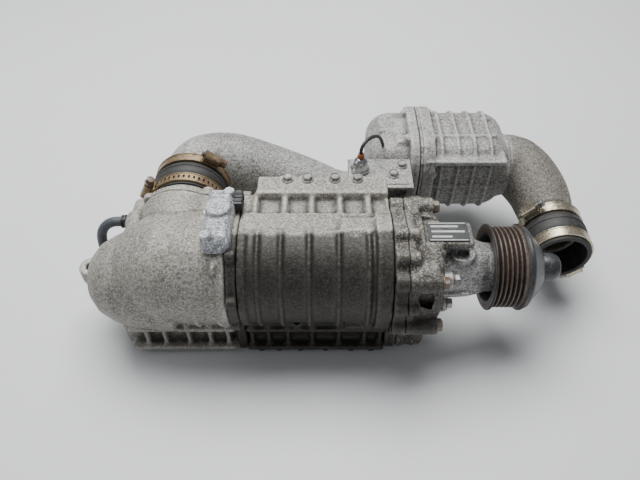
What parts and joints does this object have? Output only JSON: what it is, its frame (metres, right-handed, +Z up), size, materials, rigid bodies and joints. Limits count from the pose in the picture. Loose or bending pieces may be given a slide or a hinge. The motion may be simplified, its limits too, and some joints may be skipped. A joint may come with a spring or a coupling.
{
  "type": "supercharger",
  "caption": "Belt-driven twin-rotor supercharger with timing gears, ribbed housing, inlet manifold, crossover duct, intake silencer and grooved pulley.",
  "frame": {"origin": "bottom centre of the box, on the plane that the outlet flange stands on", "axes": "+X along the drive shaft towards the pulley, +Y from the drive shaft towards the silencer, +Z up"},
  "size_m": [0.4352, 0.2318, 0.135],
  "materials": {
    "cast_oily": "as cast, oily",
    "cast_light": "as cast",
    "cast_weathered": "as cast, white corrosion",
    "cast_bright": "bead blasted",
    "pulley_black": "satin black",
    "rubber": "matt",
    "clamp_rusty": "rusty",
    "clamp_zinc": "yellowed zinc",
    "bolt_steel": "dull zinc",
    "plastic": "matt",
    "cable_sleeving": "matt",
    "label": "satin",
    "rotor_alloy": "machined",
    "bearing_steel": "ground",
    "brass": "satin"
  },
  "bodies": {
    "casing": {"rotor_housing": "cast_oily", "inlet_manifold": "cast_light", "inlet_end_plate": "cast_light", "bearing_plate": "cast_light", "gear_cover": "cast_light", "inlet_neck": "cast_weathered", "crossover_duct": "cast_weathered", "silencer_left_shell": "cast_weathered", "silencer_right_shell": "cast_weathered", "intake_elbow": "cast_weathered", "actuator_body": "cast_weathered", "drive_snout": "cast_bright", "sensor_dome": "cast_bright", "left_sleeve": "rubber", "right_sleeve": "rubber", "shaft_seal": "rubber", "left_front_clamp_band": "clamp_rusty", "left_front_clamp_screw": "clamp_rusty", "left_rear_clamp_band": "clamp_rusty", "left_rear_clamp_screw": "clamp_rusty", "sensor_collar": "clamp_rusty", "right_front_clamp_band": "clamp_zinc", "right_front_clamp_screw": "clamp_zinc", "right_rear_clamp_band": "clamp_zinc", "right_rear_clamp_screw": "clamp_zinc", "cover_bolt_1": "bolt_steel", "cover_bolt_2": "bolt_steel", "cover_bolt_3": "bolt_steel", "cover_bolt_4": "bolt_steel", "silencer_bracket": "bolt_steel", "silencer_baffle": "bolt_steel", "actuator_connector": "plastic", "cable_gland": "plastic", "sensor_lead": "plastic", "control_cable": "cable_sleeving", "label_plate": "label", "drive_rear_bearing": "bearing_steel", "driven_rear_bearing": "bearing_steel", "drive_front_bearing_outer_race": "bearing_steel", "driven_front_bearing_outer_race": "bearing_steel", "nose_rear_bearing_outer_race": "bearing_steel", "nose_front_bearing_outer_race": "bearing_steel"},
    "drive_line": {"drive_rotor": "rotor_alloy", "drive_gear": "bearing_steel", "drive_front_bearing_inner_race": "bearing_steel", "torsion_coupling": "brass", "nose_shaft": "bearing_steel", "nose_rear_bearing_inner_race": "bearing_steel", "nose_rear_bearing_balls": "bearing_steel", "nose_front_bearing_inner_race": "bearing_steel", "nose_front_bearing_balls": "bearing_steel", "pulley": "pulley_black", "pulley_cone": "pulley_black", "pulley_cap": "pulley_black"},
    "driven_line": {"driven_rotor": "rotor_alloy", "driven_gear": "bearing_steel", "driven_front_bearing_inner_race": "bearing_steel"},
    "flap": {"air_flap": "brass", "flap_shaft": "bearing_steel"}
  },
  "joints": [
    {"name": "drive_spin", "type": "hinge", "parent": "casing", "child": "drive_line", "pos_m": [-0.01699, -0.06158, 0.075], "axis": [1, 0, 0], "continuous": true},
    {"name": "driven_spin", "type": "hinge", "parent": "casing", "child": "driven_line", "pos_m": [-0.01699, -0.01221, 0.0465], "axis": [1, 0, 0], "continuous": true},
    {"name": "flap_turn", "type": "hinge", "parent": "casing", "child": "flap", "pos_m": [-0.10099, -0.04958, 0.08], "axis": [0, 0, 1], "range_deg": [0, 80]}
  ],
  "couplings": [
    {"joint": "driven_spin", "follows": "drive_spin", "ratio": -1}
  ]
}
